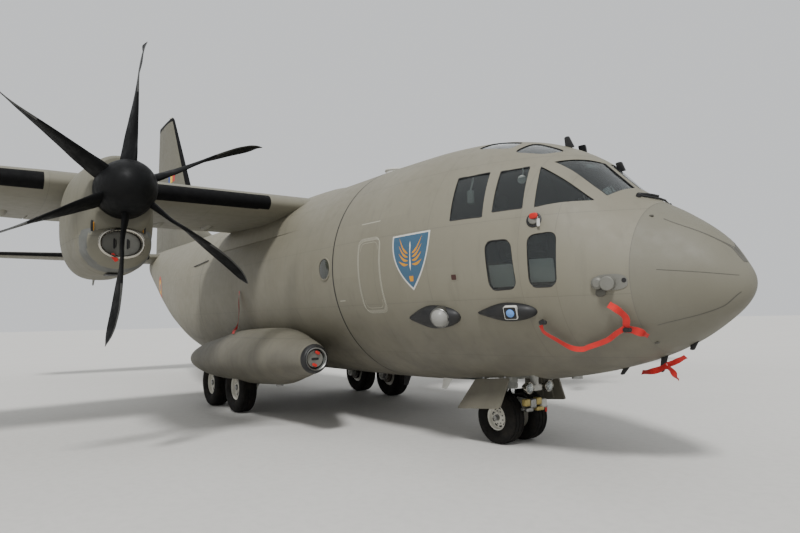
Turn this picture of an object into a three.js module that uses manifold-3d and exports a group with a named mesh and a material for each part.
// A twin-propeller military transport plane, parked on its wheels.
// Lengths are millimetres. A station s runs aft from the nose tip, y runs to port and z runs up
// from the ground, so a point's x is NOSE_X minus its station.
import * as THREE from "three";
import { mergeVertices } from "three/addons/utils/BufferGeometryUtils.js";
import Module from "manifold-3d";

// Overall sizes
const LENGTH = 22700;
const SPAN = 28700;
const HEIGHT = 9640;
const NOSE_X = LENGTH / 2;
const TIP_Y = SPAN / 2;

// Gaps: between pieces that rest on each other, and round pieces that move
const SEAT = 0.3;
const RUNNING = 8;
const END_GAP = 20;
const WING_POCKET_GAP = 12;
const TAIL_POCKET_GAP = 10;
const SURFACE_INSET = 3;

// Hinge pins: gap at each end, length, and radius for each kind of surface
const PIN_GAP = 0.7;
const PIN_LENGTH = 90;
const FLAP_PIN_RADIUS = 24;
const ELEVATOR_PIN_RADIUS = 16;
const RUDDER_PIN_RADIUS = 20;

// Fuselage
const WALL = 90;
const REAR_WALL = 70;
const RING_SIDES = 20;
const RADOME_JOINT = 905;
const NOSE_BULKHEAD = 1220;
const FRONT_JOINT = 5430;
const REAR_JOINT = 11800;
const TAIL_CAVITY_END = 21700;
const FLOOR_TOP = 1360;
const FLOOR_THICKNESS = 70;
const DECK_TOP = 2050;
const DECK_AFT = 3350;

// Rear opening: ramp, then the door that swings up
const RAMP_HINGE = { s: 12930, z: 925 };
const RAMP_END = 15880;
const RAMP_HALF = 1190;
const DOOR_HINGE = { s: 18480, z: 2660 };
const DOOR_END_HALF = 640;
// The ramp turns on a tube under the belly's edge, between two lugs
const RAMP_TUBE = { radius: 22, half: 500, lug: 40, room: 40 };
// The door turns on two arms that stand up inside the hull, each beside a lug of the hull
const DOOR_ARM = { near: 300, far: 332, lug: 340, lugFar: 372, pin: 18 };

// Nose wheel bay: tall where the wheels fold forward, low under the entrance floor
const NOSE_BAY = [{ front: 2600, aft: 3250, top: 1640 }, { front: 3240, aft: 4040, top: 1240 }];
const BAY_HALF = 430;
const BAY_WALL = 40;

// Jack pads
const JACK_PADS = {
  radius: 70,
  height: 120,
  nose: { s: 2250, y: 0, z: 955 },
  sponson: { s: 7600, y: 1660, z: 600 },
};

// Side doors
const CREW_DOOR = { front: 3900, aft: 4660, low: 1400, high: 2960 };
const CREW_HINGE = { y: 1325, z: 1400, radius: 14 };
const CREW_HINGE_LUG = { thick: 32, inward: 120, rim: 6, high: 20 };
const CREW_STEPS = { heights: [1700, 2050, 2400], margin: 120, thick: 60, depth: 60 };
const JUMP_DOOR = { front: 11960, aft: 12820, low: 1400, high: 3180 };

// Wing
const WING_ROOT_CHORD = 3400;
const WING_LEAD = 7500;
const WING_LEAD_Z = 3960;
const WING_DROP = 110;
const TIP_RISE = 40;
const WING_BREAK = 5420;
const WING_THICK = 0.16;
const WING_CAMBER = 0.016;
const FAIRING = { front: 6900, aft: 11700, bottom: 3380 };
const FLAP_HINGE = 0.74;
const FLAP_INBOARD = [2060, 5350];
const FLAP_OUTBOARD = [5490, 9900];
const AILERON = [9960, 13900];

// Engines and propellers
const PROP_Y = 4725;
const PROP_Z = 3558;
const PROP_S = 5670;
const PROP_RADIUS = 2075;
const BLADES = 6;
const SPINNER = { tip: 5130, back: 5870, radius: 385 };
const NACELLE_WALL = 60;
const NACELLE_CAVITY = [6200, 9500];
const SHAFT = { radius: 110, hole: 135, end: 6290 };
const INTAKE = { front: 5840, aft: 6260, half: 250, low: 2690, high: 3020, power: 2.2 };
const EXHAUST = { front: 9350, aft: 9950, z: 3480, radius: 150 };
const ENGINE = { front: 6400, aft: 8500, radius: 315, taper: 30, z: 3370 };
const GEARBOX = { radius: 150, endRadius: 190 };
const ENGINE_MOUNT = { front: 7150, aft: 7350, half: 90 };

// Wheels
const MAIN_TYRE = { radius: 495, width: 330, rim: 245, sides: 18 };
const NOSE_TYRE = { radius: 368, width: 270, rim: 178, sides: 16 };
const MAIN_WHEEL_STATIONS = { front: 9006, rear: 10392 };
const MAIN_WHEEL_Y = 1845;
const NOSE_WHEEL = { s: 3420, y: 231 };
const AXLE_RADIUS = 58;
const NOSE_AXLE_RADIUS = 42;
const BORE_GAP = 1.6;

// Main gear: a beam under the well's roof, and a trailing arm and a shock strut for each wheel
const WELL = { s1: 8440, s2: 10950, y1: 1400, y2: 2090, low: 300, top: 1110 };
const BEAM = { front: 8480, aft: 10880, near: 1440, far: 1560, low: 900 };
const ARM = {
  ahead: 440, y: 1500, z: 940, kneeY: 1560, radius: 85, endRadius: 75, bossRadius: 110, bossFar: 1600,
};
const AXLE = { near: 1530, far: 1955, collarFar: 1650, collarRadius: 105 };
const DAMPER = { lean: 60, y: 1500, z: 1040, footY: 1530, footRise: 60, radius: 62, endRadius: 50 };

// Nose gear: a leg across the bay, a steered fork, and two open doors
const STRUT = { low: 820, radius: 88, topRadius: 98 };
const TRUNNION = { z: 1140, radius: 52 };
const BRACE = { low: [20, 960], high: [620, 1560], radius: 38 };
const BRACE_BAR = { front: 690, aft: 560, low: 1520, high: 1600 };
const LAMP_BAR = { front: 190, aft: 80, half: 210, low: 985, high: 1035 };
const LAMP = { y: 155, z: 1010, front: 210, aft: 90, radius: 82, backRadius: 60 };
const FORK_COLLAR = { low: 745, radius: 96 };
const PISTON = { high: 760, radius: 56 };
const AXLE_BLOCK = { half: 75, side: 70, below: 65, above: 75 };
const NOSE_AXLE_END = 95;
// Torque links in side view, as distance aft of the leg and height
const TORQUE_LINKS = [[40, 800], [90, 800], [215, 640], [90, 400], [40, 400], [150, 640]];
const LINK_HALF = 45;
// A nose door in side view, and how it leans outwards from its hinged edge
const NOSE_DOOR = [[2980, 945], [3610, 900], [3795, 490], [3000, 560]];
const NOSE_DOOR_HANG = { y: 468, thick: 28, top: 950, drop: 400, lean: 190 };
const NOSE_DOOR_HINGES = { stations: [3080, 3480], radius: 20, top: [0, 452, 1040], foot: [12, 500, 850] };

// Tail
const FIN_TOP = 9560;
const TAILPLANE_TIP = 6200;
const TAILPLANE_Z = 4130;
const RUDDER = { low: 4640, high: 9330, hinge: 21420, hingeTop: 21480 };
const ELEVATOR = { inner: 640, outer: 6060, hinge: 21520, hingeTip: 21480 };
const BEACON = { s: 20900, radius: 70, topRadius: 45 };

// Flight deck
const DOORWAY = { half: 330, high: 3950, wall: 50 };
const BOARD = {
  outline: [[1560, 2040], [1990, 2040], [1900, 2950], [1760, 3080], [1600, 3080]],
  half: 820,
};
const KNEE_ROOM = { front: 1700, aft: 2100, y: 420, half: 260, high: 2620 };
const CONSOLE = { front: 1980, aft: 2800, half: 170, high: 2560 };
const DECK_STEPS = { risers: [1830, 1590], treads: [3560, 3770], half: 320 };
const PILOT_Y = 520;

// Fuselage sections: station, top, bottom, half width, and the squareness of the lower half
const HULL = [
  [0, 2085, 2055, 15, 2],
  [80, 2285, 1865, 195, 2],
  [300, 2585, 1670, 420, 2],
  [700, 2895, 1420, 665, 2],
  [1150, 3170, 1235, 905, 2],
  [1420, 3410, 1155, 1033, 2],
  [1720, 3700, 1080, 1160, 2],
  [2100, 3930, 1005, 1290, 2],
  [2600, 4130, 930, 1440, 2],
  [3300, 4280, 865, 1600, 2],
  [4200, 4345, 820, 1710, 2],
  [5400, 4360, 790, 1770, 2],
  [6500, 4360, 785, 1777, 2],
  [10400, 4360, 785, 1777, 2],
  [11400, 4360, 785, 1777, 2.3],
  [12400, 4360, 840, 1770, 3],
  [13500, 4365, 1040, 1740, 3.2],
  [15000, 4380, 1440, 1610, 3.2],
  [17000, 4410, 2020, 1330, 3],
  [19000, 4460, 2620, 1000, 2.6],
  [21000, 4500, 3200, 630, 2.3],
  [22200, 4460, 3580, 360, 2.2],
  [22600, 4360, 3800, 200, 2],
  [22700, 4200, 4000, 60, 2],
];
const [STATION, TOP, BOTTOM, HALF_WIDTH, SQUARENESS] = [0, 1, 2, 3, 4];

const wasm = await Module();
wasm.setup();

// Solids and meshes

/** Turns a closed geometry into a solid, with its shared vertices merged and its faces outward. */
function solid(geometry) {
  const bare = geometry.clone();
  bare.deleteAttribute("normal");
  bare.deleteAttribute("uv");
  const merged = mergeVertices(bare, 0.001);
  const vertices = merged.attributes.position.array;
  const kept = [];
  for (let i = 0; i < merged.index.count; i += 3) {
    const [a, b, c] = [0, 1, 2].map((k) => merged.index.getX(i + k));
    if (a !== b && b !== c && c !== a) kept.push(a, b, c);
  }
  const at = (i) => new THREE.Vector3().fromArray(vertices, 3 * i);
  let volume = 0;
  for (let i = 0; i < kept.length; i += 3) {
    volume += at(kept[i]).dot(at(kept[i + 1]).cross(at(kept[i + 2])));
  }
  if (volume < 0) {
    for (let i = 0; i < kept.length; i += 3) [kept[i], kept[i + 1]] = [kept[i + 1], kept[i]];
  }
  const mesh = new wasm.Mesh({
    numProp: 3,
    vertProperties: new Float32Array(vertices),
    triVerts: new Uint32Array(kept),
  });
  return new wasm.Manifold(mesh);
}

/** Gives a solid back as a geometry. */
function geometryOf(body) {
  const mesh = body.getMesh();
  const geometry = new THREE.BufferGeometry();
  geometry.setAttribute("position", new THREE.BufferAttribute(new Float32Array(mesh.vertProperties), 3));
  geometry.setIndex(new THREE.BufferAttribute(new Uint32Array(mesh.triVerts), 1));
  return geometry;
}

function point(s, y, z) {
  return new THREE.Vector3(NOSE_X - s, y, z);
}

function union(bodies) {
  return bodies.reduce((sum, body) => sum.add(body));
}

/** Joins rings of equal length into a closed skin, split on the shorter diagonals, with fans for ends. */
function loft(rings) {
  const count = rings[0].length;
  const corners = rings.flat();
  const ends = [rings[0], rings[rings.length - 1]];
  const centres = ends.map((ring) => {
    const sum = ring.reduce((total, p) => total.add(p), new THREE.Vector3());
    return sum.divideScalar(count);
  });
  const index = [];
  for (let r = 0; r + 1 < rings.length; r += 1) {
    for (let i = 0; i < count; i += 1) {
      const [a, b] = [r * count + i, r * count + ((i + 1) % count)];
      const [c, d] = [a + count, b + count];
      const rising = corners[a].distanceTo(corners[d]) < corners[b].distanceTo(corners[c]);
      if (rising) index.push(a, b, d, a, d, c);
      else index.push(a, b, c, b, d, c);
    }
  }
  const last = (rings.length - 1) * count;
  for (let i = 0; i < count; i += 1) {
    const next = (i + 1) % count;
    index.push(next, i, corners.length, last + i, last + next, corners.length + 1);
  }
  const geometry = new THREE.BufferGeometry();
  geometry.setFromPoints([...corners, ...centres]);
  geometry.setIndex(index);
  return solid(geometry);
}

/** A box between two stations, two y values and two heights. */
function block(s1, s2, y1, y2, z1, z2) {
  const geometry = new THREE.BoxGeometry(s2 - s1, y2 - y1, z2 - z1);
  geometry.translate(NOSE_X - (s1 + s2) / 2, (y1 + y2) / 2, (z1 + z2) / 2);
  return solid(geometry);
}

/** Extrudes an outline of [s, z] points from y1 to y2. */
function sidePrism(outline, y1, y2) {
  const shape = new THREE.Shape(outline.map(([s, z]) => new THREE.Vector2(NOSE_X - s, z)));
  const geometry = new THREE.ExtrudeGeometry(shape, { depth: y2 - y1, bevelEnabled: false });
  geometry.rotateX(Math.PI / 2);
  geometry.translate(0, y2, 0);
  return solid(geometry);
}

/** Extrudes an outline of [s, y] points from z1 to z2. */
function planPrism(outline, z1, z2) {
  const shape = new THREE.Shape(outline.map(([s, y]) => new THREE.Vector2(NOSE_X - s, y)));
  const geometry = new THREE.ExtrudeGeometry(shape, { depth: z2 - z1, bevelEnabled: false });
  geometry.translate(0, 0, z1);
  return solid(geometry);
}

/** A round bar or cone between two points. */
function rod(from, to, radius, endRadius = radius, sides = 16) {
  const along = new THREE.Vector3().subVectors(to, from);
  const geometry = new THREE.CylinderGeometry(endRadius, radius, along.length(), sides);
  const turn = new THREE.Quaternion();
  turn.setFromUnitVectors(new THREE.Vector3(0, 1, 0), along.clone().normalize());
  geometry.applyQuaternion(turn);
  geometry.translate(...new THREE.Vector3().addVectors(from, to).divideScalar(2).toArray());
  return solid(geometry);
}

/** Turns an outline of [radius, offset] points about the y axis; offsets run along y. */
function turned(outline, sides) {
  const points = outline.map(([radius, offset]) => new THREE.Vector2(radius, offset));
  return solid(new THREE.LatheGeometry(points, sides, Math.PI / sides));
}

function mirrored(body) {
  return body.mirror([0, 1, 0]);
}

// Fuselage surface

/** Slopes of a curve through the table that never overshoots it (Fritsch and Carlson's rule). */
function slopes(x, y) {
  const steps = x.slice(1).map((value, i) => (y[i + 1] - y[i]) / (value - x[i]));
  return x.map((_, i) => {
    if (i === 0) return steps[0];
    if (i === x.length - 1) return steps[i - 1];
    const [before, after] = [steps[i - 1], steps[i]];
    if (before * after <= 0) return 0;
    const [left, right] = [x[i] - x[i - 1], x[i + 1] - x[i]];
    const [w1, w2] = [2 * right + left, right + 2 * left];
    return (w1 + w2) / (w1 / before + w2 / after);
  });
}

/** A smooth column of the fuselage table, drawn over the square root of the station. */
function hullColumn(column) {
  const x = HULL.map((row) => Math.sqrt(row[STATION]));
  const y = HULL.map((row) => row[column]);
  const m = slopes(x, y);
  return (s) => {
    const q = Math.sqrt(Math.min(Math.max(s, 0), LENGTH));
    const found = x.findIndex((value) => value > q);
    const i = found < 0 ? x.length - 2 : Math.max(found - 1, 0);
    const h = x[i + 1] - x[i];
    const t = (q - x[i]) / h;
    const start = (1 + 2 * t) * (1 - t) ** 2 * y[i] + t * (1 - t) ** 2 * h * m[i];
    const end = t * t * (3 - 2 * t) * y[i + 1] + t * t * (t - 1) * h * m[i + 1];
    return start + end;
  };
}
const hullTop = hullColumn(TOP);
const hullBottom = hullColumn(BOTTOM);
const hullHalf = hullColumn(HALF_WIDTH);
const hullSquareness = hullColumn(SQUARENESS);

/** One closed section, a rounded oval whose lower half may be squarer, drawn inset from the skin. */
function hullRing(s, inset = 0) {
  const middle = (hullTop(s) + hullBottom(s)) / 2;
  const high = Math.max((hullTop(s) - hullBottom(s)) / 2 - inset, 1);
  const half = Math.max(hullHalf(s) - inset, 1);
  return Array.from({ length: RING_SIDES }, (_, i) => {
    const angle = (2 * Math.PI * i) / RING_SIDES;
    const power = 2 / (Math.sin(angle) >= 0 ? 2 : hullSquareness(s));
    const across = Math.sign(Math.cos(angle)) * Math.abs(Math.cos(angle)) ** power;
    const up = Math.sign(Math.sin(angle)) * Math.abs(Math.sin(angle)) ** power;
    return point(s, half * across, middle + high * up);
  });
}

function hull(stations, inset = 0) {
  return loft(stations.map((s) => hullRing(s, inset)));
}

/** Half width of the skin at a station and height. */
function skinY(s, z) {
  const middle = (hullTop(s) + hullBottom(s)) / 2;
  const high = (hullTop(s) - hullBottom(s)) / 2;
  const power = z >= middle ? 2 : hullSquareness(s);
  return hullHalf(s) * Math.max(1 - (Math.abs(z - middle) / high) ** power, 0) ** (1 / power);
}

const FRONT_STATIONS = [RADOME_JOINT, 1150, 1420, 1720, 2100, 2600, 3300, 4200, FRONT_JOINT];
const REAR_STATIONS = [12400, 13200, 14200, 15800, 17200, 18600, 20000, 21300];
const TAIL_STATIONS = [22200, 22500, 22650, LENGTH];
const SKIN_STATIONS = [
  0, 25, 100, 280, 560, ...FRONT_STATIONS, 6500, 10400, 11100, REAR_JOINT, ...REAR_STATIONS,
  ...TAIL_STATIONS,
];
const INSIDE_STATIONS = [
  NOSE_BULKHEAD, ...SKIN_STATIONS.filter((s) => s > NOSE_BULKHEAD && s < TAIL_CAVITY_END), TAIL_CAVITY_END,
];

/** The whole fuselage as one solid, drawn inset from its skin. */
function skin(inset) {
  return hull(SKIN_STATIONS, inset);
}

/** The space inside the fuselage's wall, nose bulkhead to tail. */
function inside(inset) {
  return hull(INSIDE_STATIONS, inset);
}

// The flight deck's inner space needs fewer sections than the skin
const LINING_STATIONS = [1000, 1720, 2600, 4200];

/** What of a solid lies between two stations. */
function slice(body, s1, s2) {
  return body.intersect(block(s1, s2, -3000, 3000, 0, 6000));
}

// Windows

// Cockpit windows on the right side: corners [s, y, z] on the skin, where a null is read from the skin
const WINDOWS = {
  windscreen: [[1940, -645, null], [1640, -60, null], [1245, -60, null], [1291, -534, null]],
  quarter: [[2030, -788, null], [1355, -682, null], [1891, null, 3023]],
  side_front: [[2467, null, 3577], [2144, null, 3597], [2020, null, 3033], [2387, null, 3028]],
  side_aft: [[3040, null, 3580], [2600, null, 3590], [2500, null, 2985], [2960, null, 2990]],
  brow_front: [[2530, -740, null], [2130, -600, null], [1990, -320, null], [2500, -320, null]],
  brow_aft: [[3206, -730, null], [2620, -655, null], [2690, -320, null], [3180, -330, null]],
  foot_front: [[1922, null, 2700], [1606, null, 2719], [1606, null, 2090], [1922, null, 2094]],
  foot_aft: [[2440, null, 2670], [2110, null, 2670], [2070, null, 2090], [2420, null, 2080]],
};
const WINDOW_PLUG = { deep: 160, proud: 220 };

/** A window's corners as points on the skin. */
function windowCorners(corners) {
  return corners.map(([s, y, z]) => {
    if (y === null) return point(s, -skinY(s, z), z);
    const middle = (hullTop(s) + hullBottom(s)) / 2;
    const high = (hullTop(s) - hullBottom(s)) / 2;
    return point(s, y, middle + high * Math.sqrt(1 - (y / hullHalf(s)) ** 2));
  });
}

/** A plug through the wall along the window's own normal, its edge drawn in by a margin. */
function windowPlug(corners, margin) {
  const centre = corners.reduce((sum, p) => sum.add(p), new THREE.Vector3()).divideScalar(corners.length);
  const normal = new THREE.Vector3().crossVectors(
    new THREE.Vector3().subVectors(corners[1], corners[0]),
    new THREE.Vector3().subVectors(corners[2], corners[0]),
  ).normalize();
  if (normal.dot(new THREE.Vector3(0, centre.y, centre.z - FLOOR_TOP - 1200)) < 0) normal.negate();
  const drawn = corners.map((p) => {
    const inwards = new THREE.Vector3().subVectors(centre, p).normalize().multiplyScalar(margin);
    return p.clone().add(inwards);
  });
  const shifted = (distance) => drawn.map((p) => p.clone().addScaledVector(normal, distance));
  return loft([shifted(-WINDOW_PLUG.deep), shifted(WINDOW_PLUG.proud)]);
}

const rightWindows = Object.values(WINDOWS).map(windowCorners);

// Lifting surfaces

/** Half thickness of a wing section at a fraction of its chord, as a share of the chord. */
function halfThickness(x, thick) {
  const powers = -0.126 * x - 0.3516 * x ** 2 + 0.2843 * x ** 3 - 0.1015 * x ** 4;
  return 5 * thick * (0.2969 * Math.sqrt(x) + powers);
}

const CHORD_STEPS = [0, 0.02, 0.08, 0.18, 0.32, 0.5, 0.68, 0.85, 1];

/** A wing section as [distance aft of the nose, height] pairs, round from the upper trailing edge. */
function aerofoil(chord, thick, camber, grow) {
  const reach = chord + 2 * grow;
  const place = (x, side) => {
    const bow = 4 * camber * x * (1 - x) * chord;
    return [x * reach - grow, bow + side * (halfThickness(x, thick) * chord + grow)];
  };
  const upper = [...CHORD_STEPS].reverse().map((x) => place(x, 1));
  const lower = CHORD_STEPS.slice(1).map((x) => place(x, -1));
  return [...upper, ...lower];
}

// Wing stations: y, leading edge station, chord, height of the leading edge, thickness, camber
const OUTER_STATIONS = [
  [WING_BREAK, WING_LEAD, WING_ROOT_CHORD, WING_LEAD_Z, WING_THICK, WING_CAMBER],
  [13950, 8026, 1760, WING_LEAD_Z + 30, 0.15, WING_CAMBER],
  [14220, 8060, 1640, WING_LEAD_Z + 35, 0.12, WING_CAMBER],
  [TIP_Y, 8200, 1330, WING_LEAD_Z + TIP_RISE, 0.05, WING_CAMBER],
];

/** A wing section at y, with the chord line falling aft. */
function wingRing([y, lead, chord, leadZ, thick, camber], grow) {
  const fall = Math.asin(WING_DROP / WING_ROOT_CHORD);
  return aerofoil(chord, thick, camber, grow).map(([aft, up]) => {
    const s = lead + aft * Math.cos(fall) + up * Math.sin(fall);
    return point(s, y, leadZ - aft * Math.sin(fall) + up * Math.cos(fall));
  });
}

function centreWing(grow = 0) {
  const root = [0, WING_LEAD, WING_ROOT_CHORD, WING_LEAD_Z, WING_THICK, WING_CAMBER];
  const at = (y) => wingRing([y, ...root.slice(1)], grow);
  return loft([at(-WING_BREAK + SEAT / 2), at(WING_BREAK - SEAT / 2)]);
}

/** The left outer wing, before its flap and aileron are cut free. */
function outerWing() {
  const rows = OUTER_STATIONS.map((row, i) => (i === 0 ? [row[0] + SEAT / 2, ...row.slice(1)] : row));
  return loft(rows.map((row) => wingRing(row, 0)));
}

/** Values of the outer wing's table at a y between its break and its last full section. */
function outerAt(y) {
  const [root, end] = OUTER_STATIONS;
  const t = Math.max((y - root[0]) / (end[0] - root[0]), 0);
  return root.map((value, i) => (i === 0 ? y : value + t * (end[i] - value)));
}

/** The hinge of a trailing-edge surface at y: its point, and the radius of its rounded nose. */
function wingHinge(y) {
  const [, lead, chord, leadZ, thick, camber] = y < WING_BREAK ? OUTER_STATIONS[0] : outerAt(y);
  const fall = Math.asin(WING_DROP / WING_ROOT_CHORD);
  const bow = 4 * camber * FLAP_HINGE * (1 - FLAP_HINGE) * chord;
  const aft = FLAP_HINGE * chord;
  return {
    centre: point(lead + aft, y, leadZ - aft * Math.sin(fall) + bow),
    nose: halfThickness(FLAP_HINGE, thick) * chord,
  };
}

/** The space that a hinged surface may fill: a round nose on the hinge, and all that lies aft. */
function hingedSpace(inner, outer, clearance, reach) {
  const [overrun, height] = [60, 700];
  const lean = new THREE.Vector3().subVectors(outer.centre, inner.centre).normalize();
  const from = inner.centre.clone().addScaledVector(lean, -overrun);
  const to = outer.centre.clone().addScaledVector(lean, overrun);
  const nose = rod(from, to, inner.nose + clearance, outer.nose + clearance, 24);
  const aft = new THREE.Vector3(-reach, 0, 0);
  const tall = new THREE.Vector3(0, 0, height).addScaledVector(lean, -height * lean.z);
  const slab = [from, to].map((p) => [
    p.clone().add(tall),
    p.clone().add(tall).add(aft),
    p.clone().sub(tall).add(aft),
    p.clone().sub(tall),
  ]);
  return nose.add(loft(slab));
}

/** A hinge pin that runs out from a surface, to just short of the flat rib that carries it. */
function hingePin(from, at, radius, ribNormal = new THREE.Vector3(0, 1, 0)) {
  const line = new THREE.Vector3().subVectors(at, from).normalize();
  const straight = Math.abs(line.dot(ribNormal));
  const leaning = Math.sqrt(Math.max(1 - straight ** 2, 0));
  const end = at.clone().addScaledVector(line, -(PIN_GAP + radius * leaning) / straight);
  return rod(end.clone().addScaledVector(line, -PIN_LENGTH), end, radius, radius, 8);
}

/** The pins at both ends of a hinge line. */
function hingePins(inner, outer, radius, ribNormal) {
  return hingePin(inner, outer, radius, ribNormal).add(hingePin(outer, inner, radius, ribNormal));
}

const between = (y1, y2) => block(-500, LENGTH + 500, y1, y2, -500, HEIGHT + 500);

/** Cuts a surface free of its wing between two y values. */
function freeSurface(wing, y1, y2, reach = 1400) {
  const [inner, outer] = [wingHinge(y1), wingHinge(y2)];
  const pocket = hingedSpace(inner, outer, WING_POCKET_GAP, reach).intersect(between(y1, y2));
  const shape = hingedSpace(inner, outer, -SURFACE_INSET, reach)
    .intersect(between(y1 + END_GAP, y2 - END_GAP));
  const pins = hingePins(inner.centre, outer.centre, FLAP_PIN_RADIUS);
  return { rest: wing.subtract(pocket), piece: wing.intersect(shape).add(pins) };
}

function wings() {
  let centre = centreWing();
  const parts = {};
  const inner = freeSurface(centre, ...FLAP_INBOARD);
  parts.flap_inboard_left = inner.piece;
  parts.flap_inboard_right = mirrored(inner.piece);
  centre = inner.rest.intersect(mirrored(inner.rest));
  parts.wing_centre = centre;
  const flap = freeSurface(outerWing(), ...FLAP_OUTBOARD);
  const aileron = freeSurface(flap.rest, ...AILERON);
  parts.wing_outer_left = aileron.rest;
  parts.flap_outboard_left = flap.piece;
  parts.aileron_left = aileron.piece;
  for (const name of ["wing_outer", "flap_outboard", "aileron"]) {
    parts[`${name}_right`] = mirrored(parts[`${name}_left`]);
  }
  return parts;
}

// Tail surfaces: height or y, leading edge station, trailing edge station, thickness of the chord
const FIN_STATIONS = [
  [4300, 16890, 22660, 0.085],
  [9440, 20370, 22310, 0.1],
  [FIN_TOP, 20520, 22290, 0.05],
];
const TAILPLANE_STATIONS = [
  [0, 19450, 22260, 0.12],
  [6080, 20520, 21900, 0.11],
  [TAILPLANE_TIP, 20650, 21830, 0.05],
];
// Fillet ahead of the fin: front and back stations, half width and height
const DORSAL = [
  [15700, 18600, 30, 4330],
  [17300, 18600, 95, 5050],
  [18700, 18900, 110, 6050],
];
const DORSAL_NOSE = 260;

function finSolid(grow = 0) {
  return loft(FIN_STATIONS.map(([z, lead, trail, thick]) => (
    aerofoil(trail - lead, thick, 0, grow).map(([aft, across]) => point(lead + aft, across, z))
  )));
}

function tailplaneSolid(grow = 0) {
  const rows = [...TAILPLANE_STATIONS].reverse().map(([y, ...rest]) => [-y, ...rest]);
  const all = [...rows.slice(0, -1), ...TAILPLANE_STATIONS];
  return loft(all.map(([y, lead, trail, thick]) => (
    aerofoil(trail - lead, thick, 0, grow).map(([aft, up]) => point(lead + aft, y, TAILPLANE_Z + up))
  )));
}

/** Half thickness of a tail surface at a hinge station, between the first two rows of its table. */
function tailNose(rows, at, s) {
  const [[from, lead1, trail1, thick1], [to, lead2, trail2, thick2]] = rows;
  const t = (at - from) / (to - from);
  const lead = lead1 + t * (lead2 - lead1);
  const chord = trail1 + t * (trail2 - trail1) - lead;
  return halfThickness((s - lead) / chord, thick1 + t * (thick2 - thick1)) * chord;
}

/** The space of a surface that turns about an upright hinge. */
function uprightSpace(clearance, z1, z2) {
  const { low, high, hinge, hingeTop } = RUDDER;
  const noses = [tailNose(FIN_STATIONS, low, hinge), tailNose(FIN_STATIONS, high, hingeTop)];
  const [radius, endRadius] = noses.map((value) => value + clearance);
  const nose = rod(point(hinge, 0, low), point(hingeTop, 0, high), radius, endRadius, 20);
  const slab = sidePrism([[hinge, low], [LENGTH, low], [LENGTH, high], [hingeTop, high]], -700, 700);
  return nose.add(slab).intersect(block(0, LENGTH + 500, -1000, 1000, z1, z2));
}

function tail() {
  const { inner, outer, hinge, hingeTip } = ELEVATOR;
  const ends = [[inner, hinge], [outer, hingeTip]].map(([y, s]) => ({
    centre: point(s, y, TAILPLANE_Z),
    nose: tailNose(TAILPLANE_STATIONS, y, s),
  }));
  const chord = 1200;
  const pocket = hingedSpace(...ends, TAIL_POCKET_GAP, chord).intersect(between(inner, outer));
  const shape = hingedSpace(...ends, -SURFACE_INSET, chord)
    .intersect(between(inner + RUNNING, outer - RUNNING));
  const whole = tailplaneSolid();
  const elevator = whole.intersect(shape)
    .add(hingePins(ends[0].centre, ends[1].centre, ELEVATOR_PIN_RADIUS));
  const finWhole = finSolid();
  const { low, high } = RUDDER;
  const rudderLine = [point(RUDDER.hinge, 0, low), point(RUDDER.hingeTop, 0, high)];
  const rudderPins = hingePins(...rudderLine, RUDDER_PIN_RADIUS, new THREE.Vector3(0, 0, 1));
  const dorsal = loft(DORSAL.map(([front, back, half, z]) => [
    [front, -6], [front + DORSAL_NOSE, -half], [back, -half],
    [back, half], [front + DORSAL_NOSE, half], [front, 6],
  ].map(([s, y]) => point(s, y, z))));
  const fin = finWhole.subtract(uprightSpace(TAIL_POCKET_GAP, low, high)).add(dorsal);
  const beacon = rod(
    point(BEACON.s, 0, FIN_TOP - 20), point(BEACON.s, 0, HEIGHT), BEACON.radius, BEACON.topRadius, 12,
  );
  return {
    tailplane: whole.subtract(pocket).subtract(mirrored(pocket)),
    elevator_left: elevator,
    elevator_right: mirrored(elevator),
    fin: fin.add(beacon).subtract(skin(-SEAT)),
    rudder: finWhole.intersect(uprightSpace(-SURFACE_INSET, low + RUNNING, high - RUNNING))
      .add(rudderPins),
  };
}

// Fuselage pieces

/** A round pad that a jack lifts on, under the nose or under a sponson. */
function jackPad({ s, y, z }) {
  return rod(point(s, y, z), point(s, y, z + JACK_PADS.height), JACK_PADS.radius, JACK_PADS.radius, 12);
}

/** A closed prism through the wall between two stations and two heights, on the left side. */
function sideCut({ front, aft, low, high }, margin, from = 700, to = 2100) {
  return block(front + margin, aft - margin, from, to, low + margin, high - margin);
}

/** The rear opening: its outline in plan, carried up through the belly. */
function rearCut(margin) {
  return planPrism([
    [RAMP_HINGE.s + margin, -RAMP_HALF + margin],
    [RAMP_END, -RAMP_HALF + margin],
    [DOOR_HINGE.s - margin, -DOOR_END_HALF + margin],
    [DOOR_HINGE.s - margin, DOOR_END_HALF - margin],
    [RAMP_END, RAMP_HALF - margin],
    [RAMP_HINGE.s + margin, RAMP_HALF - margin],
  ], 500, 2900);
}

// Side blisters: station and height of the middle, half length, half height, how far they stand out
const BLISTERS = [
  [3400, 1790, 450, 150, 150],
  [2290, 1825, 390, 110, 120],
];

/** The nose wheel bay, its walls grown outwards, from a height up to its roof. */
function noseBay(wall, low) {
  return union(NOSE_BAY.map(({ front, aft, top }) => (
    block(front - wall, aft + wall, -BAY_HALF - wall, BAY_HALF + wall, low, top + wall)
  )));
}

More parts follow.
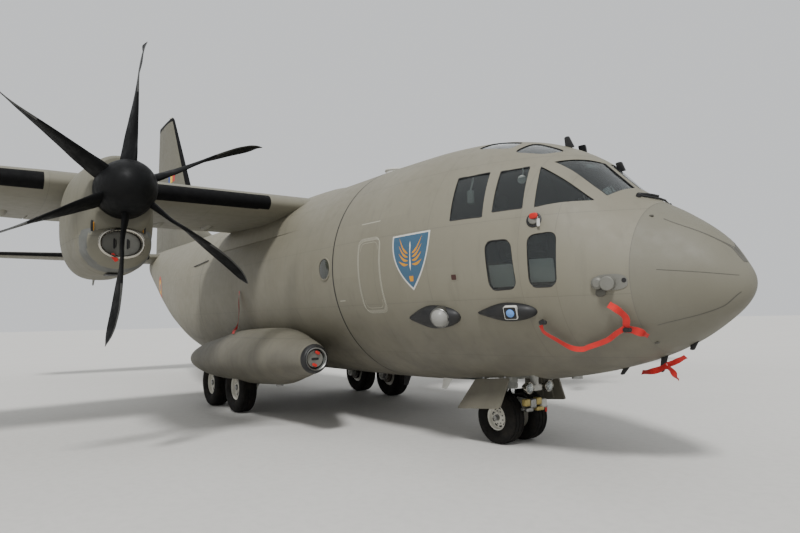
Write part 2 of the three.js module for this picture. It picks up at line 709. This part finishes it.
function fuselageFront() {
  const outer = slice(skin(0), RADOME_JOINT + SEAT / 2, FRONT_JOINT - SEAT / 2);
  const inner = inside(WALL);
  let body = outer.subtract(inner).add(noseBay(BAY_WALL, 500).intersect(outer)).subtract(noseBay(0, 400));
  body = body.add(jackPad(JACK_PADS.nose));
  body = body.subtract(sideCut(CREW_DOOR, 0));
  const { y, z, radius } = CREW_HINGE;
  const { thick, inward, rim, high: half } = CREW_HINGE_LUG;
  for (const front of [CREW_DOOR.front - RUNNING - thick, CREW_DOOR.aft + RUNNING]) {
    const lug = block(front, front + thick, y - inward, y + radius + rim, z - half, z + half);
    body = body.add(lug.subtract(inner));
  }
  for (const [s, middle, along, high, out] of BLISTERS) {
    for (const side of [-1, 1]) {
      const bulb = new THREE.SphereGeometry(1, 12, 6);
      bulb.scale(along, out * 2, high);
      bulb.translate(...point(s, side * (skinY(s, middle) - out), middle).toArray());
      body = body.add(solid(bulb).subtract(inner));
    }
  }
  for (const corners of rightWindows) {
    const plug = windowPlug(corners, 0);
    body = body.subtract(plug).subtract(mirrored(plug));
  }
  return body;
}

/** Panes of one side, carried by the lining round them. */
function glazing() {
  const lining = inside(WALL + 0.6).subtract(hull(LINING_STATIONS, WALL + 22));
  let body = lining.intersect(block(NOSE_BULKHEAD + 50, 3280, -2000, -0.5, DECK_TOP + 30, 4400));
  const glass = skin(24).subtract(inside(WALL + 12));
  for (const corners of rightWindows) body = body.add(windowPlug(corners, 1.5).intersect(glass));
  return body;
}

/** Floor, bulkhead with its doorway, instrument board, console and the steps down to the hold. */
function flightDeck() {
  const space = inside(WALL + 0.4);
  const { half, high, wall } = DOORWAY;
  const floor = block(NOSE_BULKHEAD + 1, DECK_AFT, -1700, 1700, DECK_TOP - FLOOR_THICKNESS, DECK_TOP);
  const bulkhead = block(DECK_AFT - wall, DECK_AFT, -1700, 1700, FLOOR_TOP, 4200);
  const doorway = block(DECK_AFT - 2 * wall, DECK_AFT + wall, -half, half, DECK_TOP, high);
  const knees = [-1, 1].map((side) => block(
    KNEE_ROOM.front, KNEE_ROOM.aft,
    side * KNEE_ROOM.y - KNEE_ROOM.half, side * KNEE_ROOM.y + KNEE_ROOM.half, DECK_TOP, KNEE_ROOM.high,
  ));
  const board = sidePrism(BOARD.outline, -BOARD.half, BOARD.half)
    .subtract(union(knees))
    .intersect(hull(LINING_STATIONS, WALL + 26));
  const centreConsole = block(
    CONSOLE.front, CONSOLE.aft, -CONSOLE.half, CONSOLE.half, DECK_TOP - 10, CONSOLE.high,
  );
  const { risers, treads } = DECK_STEPS;
  const steps = sidePrism([
    [DECK_AFT - 1, FLOOR_TOP + SEAT], [DECK_AFT - 1, risers[0]], [treads[0], risers[0]],
    [treads[0], risers[1]], [treads[1], risers[1]], [treads[1], FLOOR_TOP + SEAT],
  ], -DECK_STEPS.half, DECK_STEPS.half);
  return union([floor, bulkhead.subtract(doorway), centreConsole]).intersect(space).add(board).add(steps);
}

function cargoFloor() {
  const slab = block(DECK_AFT + SEAT, RAMP_HINGE.s - 10, -1500, 1500, FLOOR_TOP - FLOOR_THICKNESS, FLOOR_TOP);
  return slab.intersect(inside(WALL + 0.4));
}

function fuselageCentre() {
  const outer = slice(skin(0), FRONT_JOINT + SEAT / 2, REAR_JOINT - SEAT / 2);
  const saddle = block(FAIRING.front, FAIRING.aft, -2500, 2500, FAIRING.bottom, 5000);
  return outer.subtract(inside(WALL)).subtract(saddle);
}

// Wing fairing sections: station, how far the shoulders stand out, how far the top stands up
const FAIRING_SECTIONS = [
  [6900, 0, 0],
  [7150, 25, 20],
  [7600, 110, 70],
  [8400, 130, 90],
  [10400, 125, 70],
  [11300, 60, 20],
  [11700, 0, 0],
];

function wingFairing() {
  const swell = ([s, out, up]) => hullRing(s).map((p) => {
    const rise = Math.max((p.z - FAIRING.bottom) / (hullTop(s) - FAIRING.bottom), 0);
    const shoulder = Math.sin(Math.min(rise / 0.76, 1) * Math.PI);
    return new THREE.Vector3(p.x, p.y + Math.sign(p.y) * out * shoulder, p.z + up * rise ** 3);
  });
  const outer = loft(FAIRING_SECTIONS.map(swell));
  const band = block(FAIRING.front + SEAT, FAIRING.aft - SEAT, -2500, 2500, FAIRING.bottom + SEAT, 5000);
  return outer.subtract(inside(WALL)).intersect(band).subtract(centreWing(SEAT));
}

function fuselageRear() {
  const outer = slice(skin(0), REAR_JOINT + SEAT / 2, LENGTH + 10);
  let body = outer.subtract(inside(REAR_WALL)).subtract(rearCut(0));
  body = body.subtract(sideCut(JUMP_DOOR, 0)).subtract(mirrored(sideCut(JUMP_DOOR, 0)));
  const { s, z } = RAMP_HINGE;
  const { radius, half, lug } = RAMP_TUBE;
  const space = rod(point(s, -half, z), point(s, half, z), radius + RUNNING, radius + RUNNING, 12);
  body = union([body.subtract(space), ...rampLugs(), ...doorLugs()]);
  return body.subtract(tailplaneSolid(SEAT));
}

/** The ramp: a deep box between its sloping floor and the belly's skin, on its hinge tube. */
function ramp() {
  // The end leans forward, out of the way of the door's edge as that swings up
  const side = sidePrism([
    [RAMP_HINGE.s + RUNNING, FLOOR_TOP],
    [RAMP_END - 160, 1930],
    [RAMP_END - 60, 1740],
    [RAMP_END - RUNNING, 1600],
    [RAMP_END - RUNNING, 800],
    [RAMP_HINGE.s + RUNNING, 800],
  ], -1300, 1300);
  const { s, z } = RAMP_HINGE;
  const { radius, half, lug, room } = RAMP_TUBE;
  const notches = union([-1, 1].map((way) => rod(
    point(s, way * (half - RUNNING), z), point(s, way * (half + lug + RUNNING), z), radius + room,
  )));
  const tube = rod(point(s, PIN_GAP - half, z), point(s, half - PIN_GAP, z), radius, radius, 12);
  return skin(0).intersect(rearCut(RUNNING)).intersect(side).subtract(notches).add(tube);
}

/** The door aft of the ramp: a panel of the skin, on its two arms. */
function cargoDoor() {
  const span = block(RAMP_END + RUNNING / 2, DOOR_HINGE.s - RUNNING, -1300, 1300, 1000, 2900);
  return skin(0).subtract(inside(REAR_WALL)).intersect(rearCut(RUNNING)).intersect(span).add(doorArms());
}

function rampLugs() {
  const { s, z } = RAMP_HINGE;
  const { half, lug } = RAMP_TUBE;
  const left = block(s - 60, s + 18, half, half + lug, z - 20, z + 50);
  return [left, mirrored(left)];
}

function doorArms() {
  const { s, z } = DOOR_HINGE;
  const { near, far, lug, pin } = DOOR_ARM;
  const outline = [
    [s - 260, z - 215], [s - 60, z - 160], [s + 30, z - 30], [s + 30, z + 30], [s - 30, z + 30],
  ];
  const hingeEnd = rod(point(s, near, z), point(s, lug - PIN_GAP, z), pin, pin, 8);
  const arm = sidePrism(outline, near, far).add(hingeEnd);
  return arm.add(mirrored(arm));
}

function doorLugs() {
  const { s, z } = DOOR_HINGE;
  const { lug, lugFar } = DOOR_ARM;
  const outline = [
    [s + 20, z - 160], [s + 150, z - 130], [s + 110, z + 35], [s - 30, z + 35], [s - 30, z - 30],
  ];
  const one = sidePrism(outline, lug, lugFar);
  return [one, mirrored(one)];
}

function sideDoor(opening, wall, gap) {
  return skin(0).subtract(inside(wall)).intersect(sideCut(opening, gap));
}

/** The forward stair door: its skin with steps on the inner face. */
function crewDoor() {
  const door = sideDoor(CREW_DOOR, WALL, RUNNING);
  const lining = inside(WALL - 1).subtract(inside(WALL + CREW_STEPS.depth));
  const { heights, margin, thick } = CREW_STEPS;
  const treads = heights.map((low) => lining.intersect(
    block(CREW_DOOR.front + margin, CREW_DOOR.aft - margin, 700, 2100, low, low + thick),
  ));
  const { y, z, radius } = CREW_HINGE;
  const edges = [[CREW_DOOR.front - RUNNING, 1], [CREW_DOOR.aft + RUNNING, -1]];
  const hinges = edges.flatMap(([lug, way]) => {
    const [near, far] = [lug + way * 28, lug + way * 78];
    return [
      rod(point(lug + way * PIN_GAP, y, z), point(far, y, z), radius, radius, 8),
      block(Math.min(near, far), Math.max(near, far), y - 40, y + 12, z - 8, z + 50),
      block(Math.min(near, far), Math.max(near, far), y - 110, y, z + RUNNING, z + 50)
        .subtract(inside(WALL - 1)),
    ];
  });
  return union([door, ...treads, ...hinges]);
}

function pilotSeat(y) {
  const cushion = block(2330, 2800, y - 240, y + 240, 2480, 2600);
  const back = sidePrism([[2760, 2500], [2860, 2500], [3010, 3230], [2920, 3230]], y - 230, y + 230);
  const head = sidePrism([[2915, 3225], [3005, 3225], [3035, 3420], [2955, 3420]], y - 130, y + 130);
  const base = block(2420, 2780, y - 150, y + 150, DECK_TOP + SEAT, 2490);
  return union([cushion, back, head, base]);
}

// Sponsons and main landing gear

// Sponson sections on the left: station, middle y, half width, middle z, half height
const SPONSON = [
  [5450, 2060, 210, 1190, 205],
  [5530, 2050, 235, 1190, 225],
  [5950, 1950, 345, 1180, 280],
  [6550, 1820, 475, 1160, 370],
  [7400, 1700, 615, 1145, 505],
  [8900, 1660, 690, 1090, 530],
  [10100, 1660, 670, 1025, 435],
  [10900, 1650, 600, 1000, 320],
  [11250, 1600, 430, 970, 150],
  [11330, 1580, 330, 960, 60],
];
const SPONSON_POWER = 2.0;
const SPONSON_INTAKE = { front: [5400, 2062, 1190], aft: [5820, 2040, 1195], radius: 160, endRadius: 150 };

function oval(s, y, half, z, high, power, sides = 16) {
  return Array.from({ length: sides }, (_, i) => {
    const angle = (2 * Math.PI * i) / sides;
    const [c, u] = [Math.cos(angle), Math.sin(angle)];
    const across = Math.sign(c) * Math.abs(c) ** (2 / power);
    return point(s, y + half * across, z + high * Math.sign(u) * Math.abs(u) ** (2 / power));
  });
}

function sponson() {
  const body = loft(SPONSON.map(([s, y, half, z, high]) => oval(s, y, half, z, high, SPONSON_POWER)));
  const { front, aft, radius, endRadius } = SPONSON_INTAKE;
  const intake = rod(point(...front), point(...aft), radius, endRadius, 20);
  const well = block(WELL.s1, WELL.s2, WELL.y1, WELL.y2, WELL.low, WELL.top);
  return body.add(jackPad(JACK_PADS.sponson)).subtract(skin(-SEAT)).subtract(intake).subtract(well);
}

/** A round bar along y, at a station and height. */
function crossBar(s, z, y1, y2, radius, sides) {
  return rod(point(s, y1, z), point(s, y2, z), radius, radius, sides);
}

/** One side's main gear, without its wheels: a beam, and an arm, axle and shock strut for each wheel. */
function mainGear() {
  const axleZ = axleHeight(MAIN_TYRE);
  const parts = [block(BEAM.front, BEAM.aft, BEAM.near, BEAM.far, BEAM.low, WELL.top - SEAT)];
  for (const s of Object.values(MAIN_WHEEL_STATIONS)) {
    const pivot = s - ARM.ahead;
    const shoulder = point(s + DAMPER.lean, DAMPER.y, DAMPER.z);
    const foot = point(s - DAMPER.lean, DAMPER.footY, axleZ + DAMPER.footRise);
    parts.push(
      rod(point(pivot, ARM.y, ARM.z), point(s, ARM.kneeY, axleZ), ARM.radius, ARM.endRadius, 8),
      crossBar(pivot, ARM.z, BEAM.near, ARM.bossFar, ARM.bossRadius, 8),
      crossBar(s, axleZ, AXLE.near, AXLE.far, AXLE_RADIUS, 10),
      crossBar(s, axleZ, AXLE.near, AXLE.collarFar, AXLE.collarRadius, 8),
      rod(shoulder, foot, DAMPER.radius, DAMPER.endRadius, 8),
    );
  }
  return union(parts);
}

/** Height of an axle whose tyre stands on the flat of its tread. */
function axleHeight({ radius, sides }) {
  return radius * Math.cos(Math.PI / sides);
}

/** A tyre at a place, its tread flat across its width. */
function tyre({ radius, width, rim, sides }, s, y) {
  const [half, bead] = [width / 2, rim + SEAT];
  const cheek = rim + (radius - rim) * 0.5;
  const outline = [
    [bead, -half * 0.62], [cheek, -half], [radius * 0.96, -half * 0.82], [radius, -half * 0.45],
    [radius, half * 0.45], [radius * 0.96, half * 0.82], [cheek, half], [bead, half * 0.62],
    [bead, -half * 0.62],
  ];
  const place = point(s, y, axleHeight({ radius, sides }));
  return turned(outline, sides).translate(place.toArray());
}

/** A wheel: a dished disc with a rim under the tyre and a bore for the axle, facing out along y. */
function hub({ radius, width, rim, sides }, bore, s, y, facing) {
  const half = width * 0.31;
  const outline = [
    [bore, -half * 0.9], [rim, -half], [rim, half], [rim * 0.9, half], [rim * 0.8, half * 0.4],
    [bore, half * 0.8], [bore, -half * 0.9],
  ];
  const place = point(s, y, axleHeight({ radius, sides }));
  return turned(outline.map(([r, offset]) => [r, offset * facing]), sides).translate(place.toArray());
}

// Nose landing gear

/** The leg: strut, trunnion across the bay, brace, and a bar with the two landing lamps. */
function noseLeg() {
  const { s } = NOSE_WHEEL;
  const half = BAY_HALF - SEAT;
  const strut = rod(
    point(s, 0, STRUT.low), point(s, 0, NOSE_BAY[1].top - SEAT), STRUT.radius, STRUT.topRadius, 16,
  );
  const trunnion = crossBar(s, TRUNNION.z, -half, half, TRUNNION.radius, 10);
  const braceEnds = [BRACE.low, BRACE.high].map(([ahead, z]) => point(s - ahead, 0, z));
  const lamps = [-1, 1].map((side) => rod(
    point(s - LAMP.front, side * LAMP.y, LAMP.z), point(s - LAMP.aft, side * LAMP.y, LAMP.z),
    LAMP.radius, LAMP.backRadius, 14,
  ));
  return union([
    strut,
    trunnion,
    rod(...braceEnds, BRACE.radius, BRACE.radius, 8),
    block(s - BRACE_BAR.front, s - BRACE_BAR.aft, -half, half, BRACE_BAR.low, BRACE_BAR.high),
    block(s - LAMP_BAR.front, s - LAMP_BAR.aft, -LAMP_BAR.half, LAMP_BAR.half, LAMP_BAR.low, LAMP_BAR.high),
    ...lamps,
  ]);
}

/** The steered part of the leg: collar, piston, axle and torque links. */
function noseFork() {
  const { s, y } = NOSE_WHEEL;
  const axleZ = axleHeight(NOSE_TYRE);
  const end = y + NOSE_AXLE_END;
  const { low, radius } = FORK_COLLAR;
  const { half, side, below, above } = AXLE_BLOCK;
  return union([
    rod(point(s, 0, low), point(s, 0, STRUT.low - SEAT), radius, radius, 16),
    rod(point(s, 0, axleZ), point(s, 0, PISTON.high), PISTON.radius, PISTON.radius, 16),
    crossBar(s, axleZ, -end, end, NOSE_AXLE_RADIUS, 10),
    block(s - half, s + half, -side, side, axleZ - below, axleZ + above),
    sidePrism(TORQUE_LINKS.map(([aft, z]) => [s + aft, z]), -LINK_HALF, LINK_HALF),
  ]);
}

/** One open nose gear door: a plate that hangs from the edge of the bay. */
function noseDoor() {
  const { y, thick, top, drop, lean } = NOSE_DOOR_HANG;
  const ring = (shift) => NOSE_DOOR.map(([s, z]) => point(s, y + shift + lean * ((top - z) / drop), z));
  const plate = loft([ring(0), ring(thick)]);
  const { stations, radius, top: high, foot } = NOSE_DOOR_HINGES;
  const hinges = stations.map((s) => {
    const [from, to] = [high, foot].map(([aft, side, z]) => point(s + aft, side, z));
    return rod(from, to, radius, radius, 8);
  });
  return union([plate, ...hinges]).subtract(skin(-SEAT));
}

// Engines and propellers

// Nacelle sections: station, half width, top, bottom
const NACELLE = [
  [5900, 400, 4050, 3050],
  [6160, 455, 4090, 2760],
  [6500, 534, 4110, 2460],
  [7300, 565, 4155, 2455],
  [8300, 438, 4120, 2560],
  [9200, 332, 4020, 2920],
  [9800, 240, 3900, 3230],
];
// The chin below the spinner, round the intake: station, half width, top, bottom
const CHIN = [
  [5900, 298, 3067, 2635],
  [5960, 345, 3100, 2590],
  [6100, 420, 3250, 2530],
  [6500, 500, 3400, 2470],
  [6900, 500, 3400, 2480],
];

const NACELLE_POWER = 2.5;

/** The nacelle's outline between two stations, drawn inset, on the left wing. */
function nacelleBody(from, to, inset) {
  const at = (s) => {
    const aft = NACELLE.findIndex((row) => row[0] > s);
    const i = aft < 0 ? NACELLE.length - 1 : Math.max(aft, 1);
    const [before, after] = [NACELLE[i - 1], NACELLE[i]];
    const t = (s - before[0]) / (after[0] - before[0]);
    const [half, top, bottom] = [1, 2, 3].map((k) => before[k] + t * (after[k] - before[k]));
    const high = (top - bottom) / 2 - inset;
    return oval(s, PROP_Y, half - inset, (top + bottom) / 2, high, NACELLE_POWER);
  };
  const inner = NACELLE.map((row) => row[0]).filter((s) => s > from && s < to);
  return loft([from, ...inner, to].map(at));
}

function nacelle() {
  const [front, aft] = [NACELLE[0][0], NACELLE[NACELLE.length - 1][0]];
  const chin = loft(CHIN.map(([s, half, top, bottom]) => (
    oval(s, PROP_Y, half, (top + bottom) / 2, (top - bottom) / 2, INTAKE.power)
  )));
  const outer = nacelleBody(front, aft, 0).add(chin);
  const cavity = nacelleBody(...NACELLE_CAVITY, NACELLE_WALL);
  const mouth = loft([INTAKE.front, INTAKE.aft].map((s) => oval(
    s, PROP_Y, INTAKE.half, (INTAKE.low + INTAKE.high) / 2, (INTAKE.high - INTAKE.low) / 2, INTAKE.power,
  )));
  const shaft = rod(
    point(INTAKE.front, PROP_Y, PROP_Z), point(SHAFT.end + 10, PROP_Y, PROP_Z), SHAFT.hole, SHAFT.hole, 16,
  );
  const pipe = rod(
    point(EXHAUST.front, PROP_Y, EXHAUST.z), point(EXHAUST.aft, PROP_Y, EXHAUST.z),
    EXHAUST.radius, EXHAUST.radius, 16,
  );
  const body = outer.subtract(cavity).subtract(mouth).subtract(shaft).subtract(pipe);
  return body.subtract(centreWing(SEAT));
}

function engine() {
  const { front, aft, radius, taper, z } = ENGINE;
  const core = rod(point(front, PROP_Y, z), point(aft, PROP_Y, z), radius, radius - taper, 20);
  const gearbox = rod(
    point(SHAFT.end, PROP_Y, PROP_Z), point(front + 40, PROP_Y, PROP_Z),
    GEARBOX.radius, GEARBOX.endRadius, 16,
  );
  const cavity = nacelleBody(NACELLE_CAVITY[0] + 5, NACELLE_CAVITY[1] - 5, NACELLE_WALL + 0.4);
  const { front: mountFront, aft: mountAft, half } = ENGINE_MOUNT;
  const mounts = block(mountFront, mountAft, PROP_Y - 800, PROP_Y + 800, z - half, z + half);
  return union([core, gearbox, mounts.intersect(cavity)]);
}

// Spinner profile: share of its radius, share of its length from the tip
const SPINNER_PROFILE = [
  [0, 0], [0.27, 0.03], [0.49, 0.1], [0.73, 0.25], [0.89, 0.45], [0.98, 0.7], [1, 1],
];

// Blade sections: radius, chord, thickness, sweep aft of the hub's plane, lean, and twist in degrees
const BLADE = [
  [220, 400, 150, 0, -30, 17],
  [420, 419, 113, 2, -30, 16.8],
  [650, 367, 70, 12, -26, 16.4],
  [950, 336, 61, -27, -31, 8.4],
  [1250, 342, 49, -37, -31, -2.1],
  [1550, 302, 25, -30, -27, -9.7],
  [1800, 236, 20, -25, -6, -15.1],
  [1950, 228, 20, 17, 9, -7.1],
  [PROP_RADIUS, 194, 12, 67, 26, 10.2],
];
// A blade's section: share of the chord along it, share of the thickness across it
const LENS = [[-0.5, 0], [-0.28, 0.42], [0.05, 0.5], [0.5, 0], [0.05, -0.5], [-0.28, -0.42]];
// Turn of the first blade from straight up, towards the left wing tip
const BLADE_PHASE = 5.25;

/** One blade from hub to tip, feathered, so its chord lies near the line of flight. */
function blade(y, angle) {
  const [c, w] = [Math.cos(angle), Math.sin(angle)];
  return loft(BLADE.map(([radius, chord, thick, sweep, lean, twist]) => {
    const turn = THREE.MathUtils.degToRad(twist);
    return LENS.map(([along, across]) => {
      const aft = along * chord * Math.cos(turn) + across * thick * Math.sin(turn) + sweep;
      const side = across * thick * Math.cos(turn) - along * chord * Math.sin(turn) + lean;
      const reach = Math.sqrt(Math.max(radius ** 2 - side ** 2, 0));
      return point(PROP_S + aft, y + reach * w + side * c, PROP_Z + reach * c - side * w);
    });
  }));
}

/** The spinner, shaft and blades at one side of the plane: both turn the same way. */
function propeller(y) {
  const { tip, back, radius } = SPINNER;
  const outline = [...SPINNER_PROFILE, [0, 1]].map(([r, t]) => (
    new THREE.Vector2(r * radius, -t * (back - tip))
  ));
  const dome = new THREE.LatheGeometry(outline, 16);
  dome.rotateZ(-Math.PI / 2);
  dome.translate(NOSE_X - tip, y, PROP_Z);
  const shaft = rod(
    point(back - 40, y, PROP_Z), point(SHAFT.end - SEAT, y, PROP_Z), SHAFT.radius, SHAFT.radius, 16,
  );
  const blades = Array.from({ length: BLADES }, (_, i) => (
    blade(y, THREE.MathUtils.degToRad(BLADE_PHASE + (i * 360) / BLADES))
  ));
  return union([solid(dome), shaft, ...blades]);
}

// Finishes: colour, roughness, metalness
const FINISHES = {
  skin: new THREE.MeshStandardMaterial({ color: 0x8a8778, roughness: 0.7, metalness: 0.1 }),
  radome: new THREE.MeshStandardMaterial({ color: 0x8f8c7c, roughness: 0.75, metalness: 0 }),
  black: new THREE.MeshStandardMaterial({ color: 0x1b1c1e, roughness: 0.6, metalness: 0.1 }),
  glass: new THREE.MeshStandardMaterial({ color: 0x27343f, roughness: 0.1, metalness: 0.1 }),
  deck: new THREE.MeshStandardMaterial({ color: 0x4b4d50, roughness: 0.8, metalness: 0.1 }),
  seat: new THREE.MeshStandardMaterial({ color: 0x3b4038, roughness: 0.9, metalness: 0 }),
  engine: new THREE.MeshStandardMaterial({ color: 0x77797a, roughness: 0.5, metalness: 0.8 }),
  leg: new THREE.MeshStandardMaterial({ color: 0xc9cac6, roughness: 0.5, metalness: 0.3 }),
  wheel: new THREE.MeshStandardMaterial({ color: 0xd8d6cc, roughness: 0.5, metalness: 0.3 }),
  tyre: new THREE.MeshStandardMaterial({ color: 0x26262a, roughness: 0.9, metalness: 0 }),
};

const plane = new THREE.Group();
plane.name = "transport_plane";

function add(name, body, finish) {
  const mesh = new THREE.Mesh(geometryOf(body), FINISHES[finish]);
  mesh.name = name;
  plane.add(mesh);
}

/** Adds a piece modelled on the left, and its mirror image on the right. */
function addPair(name, body, finish) {
  add(`${name}_left`, body, finish);
  add(`${name}_right`, mirrored(body), finish);
}

add("radome", slice(skin(0), -10, RADOME_JOINT - SEAT / 2), "radome");
add("fuselage_front", fuselageFront(), "skin");
add("fuselage_centre", fuselageCentre(), "skin");
add("fuselage_rear", fuselageRear(), "skin");
add("wing_fairing", wingFairing(), "skin");
add("flight_deck", flightDeck(), "deck");
add("cargo_floor", cargoFloor(), "deck");
addPair("cockpit_glazing", mirrored(glazing()), "glass");
addPair("pilot_seat", pilotSeat(PILOT_Y), "seat");

for (const [name, body] of Object.entries(wings())) add(name, body, "skin");
for (const [name, body] of Object.entries(tail())) add(name, body, "skin");
add("ramp", ramp(), "skin");
add("cargo_door", cargoDoor(), "skin");
add("crew_door", crewDoor(), "skin");
addPair("jump_door", sideDoor(JUMP_DOOR, REAR_WALL, SEAT), "skin");

addPair("nacelle", nacelle(), "skin");
addPair("engine", engine(), "engine");
add("propeller_left", propeller(PROP_Y), "black");
add("propeller_right", propeller(-PROP_Y), "black");

addPair("sponson", sponson(), "skin");
addPair("main_gear", mainGear(), "leg");
for (const [row, s] of Object.entries(MAIN_WHEEL_STATIONS)) {
  addPair(`main_tyre_${row}`, tyre(MAIN_TYRE, s, MAIN_WHEEL_Y), "tyre");
  addPair(`main_hub_${row}`, hub(MAIN_TYRE, AXLE_RADIUS + BORE_GAP, s, MAIN_WHEEL_Y, 1), "wheel");
}

add("nose_leg", noseLeg(), "leg");
add("nose_fork", noseFork(), "leg");
addPair("nose_door", noseDoor(), "skin");
addPair("nose_tyre", tyre(NOSE_TYRE, NOSE_WHEEL.s, NOSE_WHEEL.y), "tyre");
addPair("nose_hub", hub(NOSE_TYRE, NOSE_AXLE_RADIUS + BORE_GAP, NOSE_WHEEL.s, NOSE_WHEEL.y, 1), "wheel");

export default plane;
